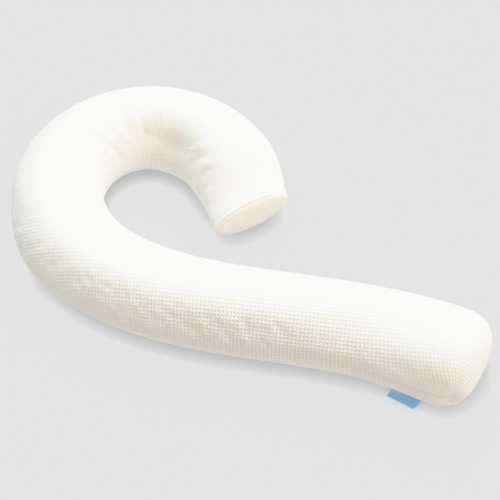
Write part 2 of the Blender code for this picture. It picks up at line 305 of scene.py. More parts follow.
cover = bpy.data.objects.new("waffle_cover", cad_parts["pillow_body"].data.copy())
scene.collection.objects.link(cover)
cover.data.materials.clear()
clean(cover)
add_modifier(cover, "REMESH", mode="VOXEL", voxel_size=CLOTH_SQUARE)
add_modifier(cover, "SMOOTH", factor=0.5, iterations=10)
print("cover mesh:", len(cover.data.vertices), "points")

# %% Where the cloth is loose, and where it is held
BARELY = 0.01  # weights below this are left out

rest_points = points_of(cover)
skin = normals_of(cover)
along, side, height = tube_coordinates(rest_points)
half, _ = section_size(along)
inner_side = ramp(-side / half, 0.0, 5 / 6) * ramp(along, 0.95, 1.15)
mouth = ramp(along, LENGTH - 0.08, LENGTH - 0.02)
loose = cover.vertex_groups.new(name="loose")
for index, weight in enumerate(inner_side * (1 - mouth)):
    if weight > BARELY:
        loose.add([index], float(weight), "REPLACE")
print("points in the loose cloth:", int((inner_side > BARELY).sum()))

# %% Fill it with the cloth simulation
PRESSURE = 4.0
FRAMES = 20
START_INSIDE = 0.003  # how far inside the finished surface the filling starts
LOOSE_CLOTH = 0.08  # how much longer the cloth is where it gathers


def fill(piece):
    """Blow the piece up as cloth, and return where its points end."""
    cloth = piece.modifiers.new("Filling", "CLOTH")
    set_all(
        cloth.settings, use_pressure=True, uniform_pressure_force=PRESSURE, quality=4,
        vertex_group_shrink="loose", shrink_min=0.0, shrink_max=-LOOSE_CLOTH,
    )
    cloth.settings.effector_weights.gravity = 0.0
    cloth.point_cache.frame_end = FRAMES
    for number in range(1, FRAMES + 1):
        scene.frame_set(number)
    pick(piece)
    bpy.ops.object.modifier_apply(modifier=cloth.name)
    scene.frame_set(1)
    return points_of(piece)


set_points(cover, rest_points - skin * START_INSIDE)
moved = fill(cover) - rest_points
print("the cloth moved by up to", np.linalg.norm(moved, axis=1).max().round(4))

# %% [markdown]
# Filling spreads along a tube until its girth is even. So what the simulation did to the girth
# is taken out again, for each short length of the tube, and only the uneven give of the cloth is
# kept. A cap on how far any point moves holds the later folds in their places.

# %% Keep the girth, and cap the moves
EVEN_EVERY = 0.05  # the girth is evened out over about this length
OFF_THE_FLOOR = 0.03  # it is read above this height, where nothing presses on the cloth
FURTHEST = 0.008  # no point may move further than this

outward = (moved * skin).sum(axis=1)
stations = np.arange(0.0, LENGTH, EVEN_EVERY)
free = height > OFF_THE_FLOOR
girth = [outward[free & (abs(along - at) < EVEN_EVERY)].mean() for at in stations]
moved -= skin * np.interp(along, stations, girth)[:, None]
length = np.linalg.norm(moved, axis=1)
allowed = FURTHEST * np.tanh(length / FURTHEST) / np.maximum(length, 1e-9)
filled = rest_points + moved * (allowed * (1 - mouth))[:, None]
filled[:, 2] = np.maximum(filled[:, 2], 0.0)
set_points(cover, filled)
cover.vertex_groups.clear()
print("girth taken out:", np.min(girth).round(4), "to", np.max(girth).round(4))

# %% [markdown]
# ## The weave's place on the cloth
#
# The cover is cut flat with its weave straight along the shank, so the rows keep that direction
# right round the hook. Each point's place on the flat cloth is the nearest place on the middle
# line, plus the way out to the side times the distance over the cloth from the crown. At the
# tail the cloth runs straight on over the end, and only its sides follow the tube. It is stored
# as a UV map in metres, worked out before the folds, so the weave rides on them.

# %% Distance over the cloth
ARC_STEPS = 59
ARC = np.radians(np.linspace(90.0, SEAM_ANGLE, ARC_STEPS + 1))


def crown_distance(along, angle):
    """Distance over the cloth from the crown line down to an angle of the section."""
    half, top = section_size(along)
    across = np.diff(np.cos(ARC))[None, :] * half[:, None]
    down = np.diff(np.sin(ARC))[None, :] * ((1 - WIDEST) * top)[:, None]
    reached = np.cumsum(np.hypot(across, down), axis=1)
    reached = np.concatenate([np.zeros((len(half), 1)), reached], axis=1)
    column = np.clip((90.0 - angle) / (90.0 - SEAM_ANGLE), 0.0, 1.0) * ARC_STEPS
    low = np.clip(column.astype(int), 0, ARC_STEPS - 1)
    row = np.arange(len(half))
    return reached[row, low] + (reached[row, low + 1] - reached[row, low]) * (column - low)


def section_angle(along, side, height):
    """The angle round the section: 0 at the widest level, 90 on top."""
    half, top = section_size(along)
    widest = WIDEST * top
    reach = np.where(height > widest, top - widest, widest)
    return np.degrees(np.arctan2((height - widest) / reach, np.abs(side) / half))


def sideways(along, normals):
    """1 where the cloth faces out to the side of the tube, 0 where it faces out of the tail."""
    to_side = (normals[:, :2] * at_line(line_side, along)).sum(axis=1) ** 2
    ahead = (normals[:, :2] * at_line(line_forward, along)).sum(axis=1) ** 2
    at_tail = ramp(along, TAIL_DOME, TAIL_DOME - 0.03)
    return 1 - at_tail * (1 - to_side / (to_side + ahead + 1e-9))


# %% The way over the tail's end
DOME_POWER = 2.9  # 2 would be a plain ellipse
TAIL_TOP = 0.172

# From its seam up to the crown, the tail's end is a squarish quarter round.
dome_turn = np.linspace(0.0, np.pi / 2, 2000)
dome_at = TAIL_DOME * (1 - np.cos(dome_turn) ** (2 / DOME_POWER))
dome_up = TAIL_SEAM_HEIGHT + (TAIL_TOP - TAIL_SEAM_HEIGHT) * np.sin(dome_turn) ** (2 / DOME_POWER)
dome_over = added_up(np.hypot(np.diff(dome_at), np.diff(dome_up)))
evenly = np.linspace(0.0, dome_over[-1], 1500)
dome_places = [np.interp(evenly, dome_over, column) for column in (dome_at, dome_up, 0 * dome_up)]
dome_tree = search_tree(list(zip(*dome_places)))


def past_the_dome(along, side, height):
    """How far over the tail's end a point lies, from where the tail starts to round off."""
    half, top = section_size(along)
    level = WIDEST * top
    level = level + (top - level) * np.sqrt(np.clip(1 - (side / half) ** 2, 0.0, 1.0))
    share = (height - TAIL_SEAM_HEIGHT) / (level - TAIL_SEAM_HEIGHT)
    crown_height = TAIL_SEAM_HEIGHT + (TAIL_TOP - TAIL_SEAM_HEIGHT) * share
    past = np.zeros(len(along))
    for index in np.flatnonzero(along < TAIL_DOME):
        found = dome_tree.find((along[index], crown_height[index], 0.0))[1]
        past[index] = dome_over[-1] - evenly[found]
    return past


# %% Flatten the cover into its two cut panels
INNER_EASE = 0.4  # the cloth on the hook's inner side is eased in by this part
SHARPEST_BEND = 290.0
SKEW = 0.36  # the cloth is out of square towards the tail's end
SKEW_FROM_TO = (0.25, 0.55)
SKEW_LEVEL = -0.26

angle = section_angle(along, side, height)
flank = sideways(along, normals_of(cover))
straight_down = np.degrees(np.arccos(np.clip(np.abs(side) / section_size(along)[0], 0, 1)))
over = flank * crown_distance(along, angle) + (1 - flank) * crown_distance(along, straight_down)
over *= np.sign(side)
bend = np.interp(along, row_at, [row.bend for row in SECTIONS])
ease = INNER_EASE * np.clip(bend, 0, None) / SHARPEST_BEND
over = np.where(side < 0, over + (side - over) * ease, over)
held = np.maximum(along, TAIL_DOME)
past = past_the_dome(along, side, height)
beside = off_line(along, over)
beyond = off_line(held, over) - at_line(line_forward, held) * past[:, None]
crown_place = flank[:, None] * beside + (1 - flank[:, None]) * beyond
out_of_square = SKEW * ramp(crown_place[:, 0], *SKEW_FROM_TO)
crown_place[:, 0] += out_of_square * (crown_place[:, 1] - SKEW_LEVEL)
belly_place = off_line(along, side)
seam_height = WIDEST * section_size(along)[1] * (1 + math.sin(math.radians(SEAM_ANGLE)))
print("the pillow's top panel reaches from", crown_place.min(axis=0), "to", crown_place.max(axis=0))

# %% Store it as the cover's map
corner = corners_of(cover)
face_start = read(cover.data.polygons, "loop_start", kind=np.int64)
face_size = read(cover.data.polygons, "loop_total", kind=np.int64)
on_crown = np.add.reduceat((height - seam_height)[corner], face_start) > 0
on_crown = np.repeat(on_crown, face_size)[:, None]
flat = np.where(on_crown, crown_place[corner], belly_place[corner])
write_map(cover, "flat cloth", flat)
print("flat cloth spans", flat.min(axis=0).round(3), flat.max(axis=0).round(3))

# %% Make the mesh finer, for the folds
add_modifier(cover, "SUBSURF", levels=1, render_levels=1)
print("finer cover mesh:", len(cover.data.vertices), "points")

# %% [markdown]
# ## Folds and gathers
#
# A fold in filled cloth is a soft trough with a raised shoulder on each side. Each is listed by
# the places that it runs through in tube coordinates, so the list reads like a walk over the
# pillow. The path is laid on the cloth first, and every point near it then moves along its own
# normal. A depth below zero is a ridge.

# %% The long folds
MM = 1000  # in a metre: the tables of folds are in millimetres
Fold = namedtuple("Fold", "path width depth")
# Each place is a distance along, an angle, and the part of the full depth that is reached there.
VALLEY = (
    (33, -15, 0.8), (56, -9, 1.1), (105, -6, 1.3), (151, -2, 1.2), (208, 5, 1.0),
    (261, 10, 0.9), (313, 12, 0.8), (367, 11, 0.6), (418, 9, 0.5), (466, 5, 0.4),
    (520, 4, 0.3), (630, 4, 0.2), (700, 3, 0.1),
)
# The shoulder of the near side: full along the shank's middle, slack towards the tail.
SHOULDER = (
    (60, 80, -0.2), (120, 80, -0.6), (220, 78, -0.6), (310, 70, 0.0), (380, 64, 0.7),
    (500, 62, 1.0), (620, 66, 1.0), (750, 68, 1.0), (870, 68, 0.9), (980, 66, 0.6),
    (1080, 62, 0.0),
)
LONG_FOLDS = [
    Fold(VALLEY, 13, 5.0),
    # the belly's edge below it, blown out into a roll
    Fold([(at, turn - 17, part) for at, turn, part in VALLEY], 13, -3.0),
    Fold(SHOULDER, 34, -4.8),
]

# %% The short folds and gathers
# Where each starts (distance, angle) and ends, its width and its depth.
SHORT_FOLDS = (
    # the pinch at the tail's near corner
    (35, 0, 65, 22, 6, 0.8), (35, 0, 35, 30, 6, 0.8), (35, 0, 17, 20, 5, 0.8),
    # crumples along the near side of the shank
    (402, 41, 442, 56, 8, 1.4), (428, 21, 448, 24, 8, 1.0), (454, 48, 436, 37, 8, 1.6),
    (482, 50, 476, 37, 8, 1.2), (488, 13, 496, 33, 7, 1.2), (524, 31, 502, 15, 8, 1.4),
    (546, 46, 530, 37, 8, 1.4), (554, 45, 572, 46, 8, 1.4), (562, 16, 594, 32, 8, 1.6),
    (590, 22, 608, 40, 7, 1.0), (638, 43, 612, 34, 8, 1.0), (663, 5, 651, 33, 8, 1.2),
    (667, 48, 673, 45, 8, 1.0), (711, 3, 699, 29, 9, 1.4), (721, 26, 745, 14, 8, 1.4),
    (737, 42, 743, 39, 7, 1.0), (783, 48, 813, 47, 9, 1.2), (541, 40, 551, 32, 9, 1.6),
    (478, 42, 486, 32, 9, 1.6), (735, 10, 752, 20, 9, 1.4), (800, 35, 822, 41, 9, 1.6),
    # the outer side where the shank turns up into the hook
    (841, 11, 831, 38, 9, 1.2), (871, 10, 865, 33, 8, 0.9), (895, 15, 861, 50, 9, 0.9),
    (922, 11, 883, 52, 9, 1.0), (946, 18, 908, 53, 9, 0.9), (970, 18, 906, 71, 9, 0.8),
    (1008, 7, 944, 67, 9, 0.8),
    # the fan of gathers on the hook's inner side
    (1183, 129, 1229, 170, 8, 1.0), (1237, 125, 1281, 171, 8, 0.3), (1283, 123, 1331, 163, 8, 0.3),
    (1323, 118, 1377, 163, 8, 0.9), (1381, 118, 1426, 150, 9, 0.4), (1410, 102, 1445, 142, 12, 3.0),
    (1455, 104, 1525, 155, 24, -4.5), (1415, 149, 1605, 151, 38, 14.0),
    (1602, 116, 1586, 138, 8, 0.5), (1668, 118, 1640, 148, 8, 0.5), (1701, 126, 1697, 147, 6, 1.2),
    (1729, 136, 1733, 157, 6, 1.2), (1761, 138, 1767, 166, 6, 1.0), (1783, 144, 1791, 172, 6, 1.0),
)
folds = LONG_FOLDS + [
    Fold(((at, turn, 0.3), ((at + to) / 2, (turn + to_turn) / 2, 1.0), (to, to_turn, 0.3)), w, d)
    for at, turn, to, to_turn, w, d in SHORT_FOLDS
]
print(len(folds), "folds")

# %% Fold the cloth
FOLD_STEP = 0.003  # spacing of the places on a path
DEGREE = 0.002  # about how far a degree round the tube is
# The raised cloth beside a trough: its height as a part of the depth, then how far out it is
# and how wide, in widths of the trough.
RISE_HEIGHT, RISE_AT, RISE_WIDTH = 0.4, 2.0, 1.1
FOLD_REACH = 5  # widths of the trough, past which a fold moves nothing


def nearest_on(piece):
    """A search tree of the piece's faces."""
    shape = bmesh.new()
    shape.from_mesh(piece.data)
    tree = BVHTree.FromBMesh(shape)
    shape.free()
    return tree


def fold_inward(points, tree, fold):
    """How far one fold moves each point in: a trough between two low shoulders."""
    corners = np.array(fold.path) / (MM, 1, 1)
    width = fold.width / MM
    length = abs(corners[-1, 0] - corners[0, 0]) + DEGREE * np.ptp(corners[:, 1])
    steps = np.linspace(0, len(corners) - 1, max(9, int(length / FOLD_STEP)))
    along, angle, share = (
        np.interp(steps, np.arange(len(corners)), column) for column in corners.T
    )
    path = near_surface(along, angle)
    path = np.array([tree.find_nearest(Vector(place))[0] for place in path])
    inward = np.zeros(len(points))
    reach = FOLD_REACH * width
    beside = (points > path.min(axis=0) - reach) & (points < path.max(axis=0) + reach)
    near = np.flatnonzero(beside.all(axis=1))
    lookup = search_tree(path)
    found = [lookup.find(place) for place in points[near]]
    distance = np.array([hit[2] for hit in found]) / width
    raised = RISE_HEIGHT * np.exp(-(((distance - RISE_AT) / RISE_WIDTH) ** 2))
    trough = np.exp(-(distance**2)) - raised
    inward[near] = fold.depth / MM * share[[hit[1] for hit in found]] * trough
    return inward


points = points_of(cover)
tree = nearest_on(cover)
inward = sum(fold_inward(points, tree, fold) for fold in folds)
push_in(cover, inward)
print("folds move the cloth by up to", np.abs(inward).max().round(4))

# %% [markdown]
# ## Crumples
#
# Between the folds the cloth on the near side is never smooth: it has soft crumples a few
# centimetres across. Listing them all would say nothing, so they come from a fixed noise that is
# laid out in tube coordinates, strongest where the shank turns into the hook.

# %% Crumple the near side
CRUMPLE_LONG = 0.015  # metres along the tube
CRUMPLE_ROUND = 11.0  # degrees round it
CRUMPLE_LEAN = 0.15  # they lean this much of their length in each step round it
CRUMPLE_DEPTH = 0.0014
NOISE_SLICE = 7.0  # another slice of the noise would give other crumples

along, side, height = tube_coordinates(points_of(cover))
angle = section_angle(along, side, height)
# on the near side, from the shank to the hook, and how strong on the way
zone = ramp(angle, -30, -5) * (1 - ramp(angle, 48, 64)) * (side > 0)
zone *= ramp(along, 0.38, 0.46) * (1 - ramp(along, 1.00, 1.08))
zone *= 0.8 + 0.3 * ramp(along, 0.60, 0.70) - 0.6 * ramp(along, 0.74, 0.84)
crumple = np.zeros(len(along))
for index in np.flatnonzero(zone > BARELY):
    steps_round = angle[index] / CRUMPLE_ROUND
    steps_along = along[index] / CRUMPLE_LONG + CRUMPLE_LEAN * steps_round
    crumple[index] = noise.noise(Vector((steps_along, steps_round, NOISE_SLICE)))
inward = crumple * zone * CRUMPLE_DEPTH
push_in(cover, inward)
print("crumples move the cloth by up to", np.abs(inward).max().round(5))

# %% [markdown]
# ## The mouth, and the panel's place in it
#
# The hook's end is closed by an oval panel. Its edge is worked out here, before the panel is
# made, because the cover is shaped along it: the cloth rolls off softly towards the seam, and
# it dips a little where the seam allowance ends inside.

# %% From the panel's own coordinates to the end of the hook
PANEL_HALF_WIDTH = 0.0920
PANEL_HALF_HEIGHT = 0.0450
PANEL_BULGE = 0.0120
PANEL_AHEAD = 0.0018  # where its edge lies, ahead of the last full section
PANEL_HEIGHT = 0.0640  # of its middle, above the floor
PANEL_TOP = 0.86  # its upper edge is drawn flatter by the cover
MOUTH_SLANT = 17.0  # degrees that the end is turned away from the hook's inside
EDGE_PLACES = 240


def set_in_mouth(points):
    """From the panel's own x, y and height to the end of the hook."""
    at = np.full(len(points), LENGTH - RIM)
    ahead = PANEL_AHEAD + points[:, 2] - math.tan(math.radians(MOUTH_SLANT)) * points[:, 0]
    place = off_line(at, points[:, 0]) + at_line(line_forward, at) * ahead[:, None]
    return np.column_stack([place, PANEL_HEIGHT + points[:, 1]])


round_turn = np.linspace(0, 2 * np.pi, EDGE_PLACES, endpoint=False)
edge_up = PANEL_HALF_HEIGHT * np.sin(round_turn) * np.where(np.sin(round_turn) > 0, PANEL_TOP, 1.0)
edge_flat = np.column_stack([PANEL_HALF_WIDTH * np.cos(round_turn), edge_up, 0 * edge_up])
panel_edge = set_in_mouth(edge_flat)
print("the panel's edge spans", panel_edge.min(axis=0).round(3), panel_edge.max(axis=0).round(3))

# %% Roll the cloth at the panel's seam
ROLL_OFF = 0.0040  # how far the cloth sinks towards the panel's edge
ROLL_REACH = 0.018
DIP_BACK = 0.0115  # how far behind the edge it dips
DIP_DEPTH = 0.0009
DIP_WIDTH = 0.0040
NEAR_MOUTH = 0.08  # further back than this the cover isn't shaped by the panel

points = points_of(cover)
from_panel = distance_to(panel_edge, points, along > LENGTH - NEAR_MOUTH)
sink = ROLL_OFF * np.exp(-((from_panel / ROLL_REACH) ** 2))
dip = DIP_DEPTH * np.exp(-(((from_panel - DIP_BACK) / DIP_WIDTH) ** 2))
push_in(cover, (sink + dip) * ramp(points[:, 2], 0.05, 0.08))
print("points near the panel:", int((from_panel < 0.03).sum()))

# %% [markdown]
# ## The height of the weave
#
# The waffle stands up fully where the cloth lies loose. Below the long valley the cover is
# pulled tight over the belly's edge, and its ridges are drawn nearly flat there. The filling
# draws them out on the crown, at the two ends and round the hook, and where the hook's inner
# side gathers they are pressed together. A value on each point tells the material how high the
# ridges stand.

# %% Where the weave is drawn flat
# How high the ridges stand at distances along the tube, where nothing else draws them flat.
STANDS = (
    (0.00, 0.40), (0.14, 0.36), (0.28, 0.85), (0.42, 1.00), (0.55, 1.00), (0.68, 0.70),
    (0.80, 0.50), (1.10, 0.50), (1.30, 0.50), (1.60, 0.45), (1.80, 0.40),
)
VALLEY_ENDS = ((800, -15), (900, -45))  # past its last place it runs out at the seam
TIGHT_BELOW = 6.0  # degrees below the valley's line

valley = zip(*[place[:2] for place in VALLEY], *VALLEY_ENDS)
below = np.where(side > 0, np.interp(along * MM, *valley) - TIGHT_BELOW - angle, 0.0)
tight = ramp(below, 0.0, 7.0) * ramp(along, 0.02, 0.04)
tight *= 0.75 + 0.25 * ramp(along, 0.15, 0.30)
inner_side = ramp(-side / section_size(along)[0], 0.0, 0.625)
weave_height = np.interp(along, *zip(*STANDS))
# each place, and the part of the height that it takes away
for place, taken in (
    (tight, 0.9),
    (ramp(angle, 35.0, 60.0), 0.2),  # the crown
    (1 - ramp(from_panel, 0.012, 0.062), 0.3),  # beside the panel
    (ramp(along, 1.10, 1.22) * inner_side, 0.6),  # the hook's gathered inner side
):
    weave_height *= 1 - taken * place
stored = cover.data.attributes.new("weave height", "FLOAT", "POINT")
stored.data.foreach_set("value", weave_height.astype(np.float32))
print("weave height from", weave_height.min().round(2), "to", weave_height.max().round(2))

# %% [markdown]
# ## The sewn seam
#
# The two panels are sewn inside out and turned, so no stitch shows: the seam is a narrow groove
# between two full edges, and the cloth puckers a little across it all the way along.

# %% How far each point is from the seam
SEAM_FROM = 0.056  # it starts where the tail's dome is nearly full
SEAM_STEP = 0.002
SEAM_BELOW = 0.06  # it lies lower than this

points = points_of(cover)
along, side, height = tube_coordinates(points)
seam_at = np.arange(SEAM_FROM, LENGTH - RIM, SEAM_STEP)
both_sides = [
    near_surface(seam_at, np.full(len(seam_at), turn)) for turn in (SEAM_ANGLE, 180.0 - SEAM_ANGLE)
]
tree = nearest_on(cover)
seam_line = [tree.find_nearest(Vector(place))[0] for place in np.concatenate(both_sides)]
from_seam = distance_to(seam_line, points, height < SEAM_BELOW)
print("points in the seam:", int((from_seam < 0.003).sum()))

# %% Draw the seam in
SEAM_DEPTH = 0.0025
SEAM_WIDTH = 0.0035
PUCKER_SPACING = 0.016
PUCKER_HEIGHT = 0.0008
PUCKER_REACH = 0.022
# The puckers stray from even spacing: how far, how fast in radians a metre, and from where.
STRAYING = ((0.004, 61.0, 0.0), (0.003, 143.0, 1.0))

fade = ramp(along, LENGTH - RIM, LENGTH - RIM - 0.05) * ramp(along, 0.05, 0.08)
groove = SEAM_DEPTH * np.exp(-((from_seam / SEAM_WIDTH) ** 2))
strayed = along + sum(far * np.sin(along * fast + start) for far, fast, start in STRAYING)
strength = 0.6 + 0.4 * np.sin(along * 29.0)
wave = np.sin(2 * np.pi * strayed / PUCKER_SPACING) * strength
pucker = PUCKER_HEIGHT * wave * np.exp(-((from_seam / PUCKER_REACH) ** 2))
push_in(cover, (groove - pucker) * fade)
pick(cover)
bpy.ops.object.shade_smooth()
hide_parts("pillow_body")
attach(cover, "root")
print("cover:", len(cover.data.polygons), "faces")

# %% [markdown]
# ## The end panel
#
# The hook's end is closed by an oval of plain cotton, sewn to the tube all round and pushed out
# by the filling. A flat disc would look stiff, and half of a flattened ball has just this form:
# nearly flat in the middle and rolling back into the seam at its edge. So a ball is squashed,
# cut in two, given its thickness, and set into the end of the tube.

# %% The oval panel
pick(camera)
bpy.ops.mesh.primitive_uv_sphere_add(
    segments=96, ring_count=64, radius=1.0, rotation=(0.0, 0.0, 0.0), location=(0.0, 0.0, 0.0)
)
panel = bpy.context.active_object
panel.name = "oval_end_panel"
bpy.ops.object.mode_set(mode="EDIT")
bpy.ops.mesh.select_all(action="SELECT")
bpy.ops.mesh.bisect(
    plane_co=(0.0, 0.0, 0.0), plane_no=(0.0, 0.0, 1.0), clear_inner=True, use_fill=False
)
bpy.ops.mesh.select_all(action="SELECT")
bpy.ops.transform.resize(
    value=(PANEL_HALF_WIDTH, PANEL_HALF_HEIGHT, PANEL_BULGE), center_override=(0.0, 0.0, 0.0)
)
bpy.ops.object.mode_set(mode="OBJECT")
print("panel:", len(panel.data.polygons), "faces, before it is set in place")

# %% Gather it at its edge and set it in place
GATHERS = 31  # that go round it
GATHER_HEIGHT = 0.0007
PANEL_THICK = 0.0015

flat_panel = points_of(panel)
flat_panel[:, 1] *= np.where(flat_panel[:, 1] > 0, PANEL_TOP, 1.0)
in_ovals = flat_panel[:, :2] / (PANEL_HALF_WIDTH, PANEL_HALF_HEIGHT)
turn = np.arctan2(in_ovals[:, 1], in_ovals[:, 0])
from_middle = np.hypot(in_ovals[:, 0], in_ovals[:, 1])
near_edge = ramp(from_middle, 0.55, 0.90) * (1 - ramp(from_middle, 0.93, 1.00))
flat_panel[:, 2] += GATHER_HEIGHT * np.sin(GATHERS * turn + 1.5 * np.sin(5 * turn)) * near_edge
write_map(panel, "flat panel", flat_panel[corners_of(panel), :2])
set_points(panel, set_in_mouth(flat_panel))
clean(panel)
add_modifier(panel, "SOLIDIFY", thickness=PANEL_THICK, offset=-1.0)
pick(panel)
bpy.ops.object.shade_smooth()
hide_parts("hook_end_panel")
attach(panel, "root")
print("panel:", len(panel.data.polygons), "faces, with", GATHERS, "gathers")


# %% [markdown]
# ## The label
#
# The label is a woven tape, folded in two and caught in the low seam by both its ends. It hangs
# from the seam, touches the surface the pillow lies on, and lies out flat on it. A flat plate
# would have no fold, so the tape starts as one flat grid, as long as both its layers, and each
# of its long threads is then laid from the seam to the fold and back beneath. It is caught a
# little askew, so less of it shows at its hook side. The tape is left bare.

# %% The tape, flat
TAPE_FROM = 0.094  # where it starts, from the tail's tip along the seam
TAPE_WIDTH = 0.072
TAPE_THICK = 0.0004
LAYER_GAP = 0.0004  # between its two layers
TAPE_REACH = (0.0240, 0.0135)  # how far it lies out from the seam, at its tail and hook sides
TAPE_SWING = (33.0, 26.0)  # degrees that those two sides turn towards the hook
TAPE_ROOT = 0.0010  # its ends start this far out of the seam's bottom
ROWS, COLUMNS = 64, 36  # of the grid, along its length and across it

pick(camera)
bpy.ops.mesh.primitive_grid_add(
    x_subdivisions=COLUMNS, y_subdivisions=ROWS, size=2.0, location=(0.0, 0.0, 0.0)
)
label = bpy.context.active_object
label.name = "tape_label"
grid = points_of(label)[:, :2]
print("tape grid:", len(grid), "points")

# %% How one thread runs
# The part of its reach, and of the fall from the seam to the surface.
RUN = ((0.0, 0.0), (0.12, 0.30), (0.25, 0.58), (0.42, 0.82), (0.62, 0.96), (0.80, 1.0), (1.0, 1.0))
RUN_STEPS = 200
ROUNDED = 20  # steps on each side that a corner is rounded over

run_out, run_fallen = (np.array(column) for column in zip(*RUN))


def smooth_between(steps, values):
    """Values between listed ones, rounded so that the tape bends and has no corners."""
    straight = np.interp(steps, np.arange(len(values)), values)
    before = 2 * straight[0] - straight[ROUNDED:0:-1]
    after = 2 * straight[-1] - straight[-2 : -ROUNDED - 2 : -1]
    window = np.hanning(2 * ROUNDED + 1)
    longer = np.concatenate([before, straight, after])
    return np.convolve(longer, window / window.sum(), mode="valid")


def tape_run(part):
    """The run of one thread from the seam to the fold, in space and as a flat profile."""
    reach = np.interp(part, (0, 1), TAPE_REACH)
    swing = math.radians(np.interp(part, (0, 1), TAPE_SWING))
    at = np.array([TAPE_FROM + TAPE_WIDTH * part])
    outward, forward = at_line(line_side, at)[0], at_line(line_forward, at)[0]
    way = outward * math.cos(swing) + forward * math.sin(swing)
    root = near_surface(at, np.array([SEAM_ANGLE]))[0]
    root[:2] += outward * (TAPE_ROOT - SEAM_DEPTH)
    steps = np.linspace(0, len(RUN) - 1, RUN_STEPS)
    out = smooth_between(steps, run_out) * reach / math.cos(swing)
    fall = smooth_between(steps, run_fallen) * (root[2] - TAPE_THICK * 2 - LAYER_GAP)
    places = np.column_stack([root[:2] + out[:, None] * way, root[2] - fall])
    return places, np.column_stack([out, -fall])


# %% Lay the tape from the seam to the fold and back
def at_length(reached, length, rows):
    """Rows of values at places along a thread."""
    return np.column_stack([np.interp(reached, length, column) for column in rows.T])


laid = np.zeros((len(grid), 3))
flat_tape = np.zeros((len(grid), 2))
longest = 0.0
half_gap = (TAPE_THICK + LAYER_GAP) / 2
for across in np.unique(grid[:, 0].round(6)):
    thread = np.flatnonzero(grid[:, 0].round(6) == across)
    layer = np.sign(grid[thread, 1])  # 1 and -1 for the two layers, 0 at the fold
    places, profile = tape_run((1 - across) / 2)
    length = added_up(np.hypot(*np.diff(profile, axis=0).T))
    longest = max(longest, length[-1])
    slope = np.gradient(profile, axis=0)
    slope /= np.linalg.norm(slope, axis=1, keepdims=True)
    way = places[-1, :2] - places[0, :2]
    way /= np.linalg.norm(way)
    off_the_run = np.column_stack([-slope[:, 1:] * way, slope[:, 0]])
    reached = (1 - np.abs(grid[thread, 1])) * length[-1]
    turn = np.clip((length[-1] - reached) / (half_gap * math.pi / 2), 0.0, 1.0) * math.pi / 2
    apart = layer * half_gap * np.sin(turn)
    laid[thread] = at_length(reached, length, places)
    laid[thread] += at_length(reached, length, off_the_run) * apart[:, None]
    flat_tape[thread, 0] = across * TAPE_WIDTH / 2
    flat_tape[thread, 1] = layer * (length[-1] - reached)
laid[:, 2] += TAPE_THICK + LAYER_GAP / 2
print("from the seam to the fold:", round(longest, 4), "m")

# %% Give it its thickness
write_map(label, "flat tape", flat_tape[corners_of(label)])
set_points(label, laid)
clean(label)
tape_area = sum(face.area for face in label.data.polygons)
add_modifier(label, "SOLIDIFY", thickness=TAPE_THICK, offset=0.0)
pick(label)
bpy.ops.object.shade_smooth()
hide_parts("side_label")
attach(label, "root")
print("tape area:", round(tape_area, 5), "of", round(TAPE_WIDTH * 2 * longest, 5))

# %% [markdown]
# ## Materials
#
# Every colour is written as the sRGB hex value that a colour picker shows, and one function
# turns it into the linear values that light is worked out in.


# %% Colours, and helpers that add nodes
def colour(hex_value):
    """Linear RGBA from an sRGB hex value."""
    parts = [int(hex_value[i : i + 2], 16) / 255 for i in (1, 3, 5)]
    return [p / 12.92 if p <= 0.04045 else ((p + 0.055) / 1.055) ** 2.4 for p in parts] + [1.0]


def connect(graph, made, inputs):
    """Fill a node's inputs. Each value is a number, a colour or another node's output."""
    for name, value in inputs.items():
        if isinstance(value, bpy.types.NodeSocket):
            graph.links.new(value, made.inputs[name])
        else:
            made.inputs[name].default_value = value


def node(graph, kind, inputs, **settings):
    """Add one node with its settings and inputs."""
    made = graph.nodes.new("ShaderNode" + kind)
    set_all(made, **settings)
    connect(graph, made, inputs)
    return made


def maths(graph, operation, *values):
    """Arithmetic on one or two values, each a number or another node's output."""
    return node(graph, "Math", dict(enumerate(values)), operation=operation).outputs[0]


def wave(graph, value, spacing, operation):
    """A sine or cosine that repeats at this spacing."""
    return maths(graph, operation, maths(graph, "MULTIPLY", value, 2 * math.pi / spacing))


def share(graph, value, low, high):
    """0 at the low value and 1 at the high one."""
    return node(graph, "MapRange", {0: value, 1: low, 2: high, 3: 0.0, 4: 1.0}).outputs[0]


def blend(graph, part, first, second):
    """A mix of two colours, all of the second one where the part is 1."""
    mixed = node(graph, "Mix", {0: part, 6: first, 7: second}, data_type="RGBA")
    return mixed.outputs[2]


def relief(graph, height, distance, strength, **finer):
    """A height that bends the light like real relief, over a finer one if its Normal is given."""
    inputs = {"Height": height, "Distance": distance, "Strength": strength, **finer}
    return node(graph, "Bump", inputs).outputs[0]


def new_material(piece, name):
    """Give the piece a new material, and return its node graph and its shader."""
    made = bpy.data.materials.new(name)
    made.use_nodes = True
    piece.data.materials.append(made)
    return made.node_tree, made.node_tree.nodes["Principled BSDF"]


# %% [markdown]
# ### Waffle cotton
#
# Waffle cotton is woven with longer threads that stand up as square ridges round small hollows.
# The ridges catch the light and the hollows hold soft, warm shade, which is also painted into
# the hollows' colour.

# %% Waffle cotton: its ridges and hollows
WAFFLE_CELL = 0.0078  # metres from ridge to ridge
WAFFLE_TURN = 10.0  # degrees that the rows lie off the shank's line
WAFFLE_DEPTH = 0.0014

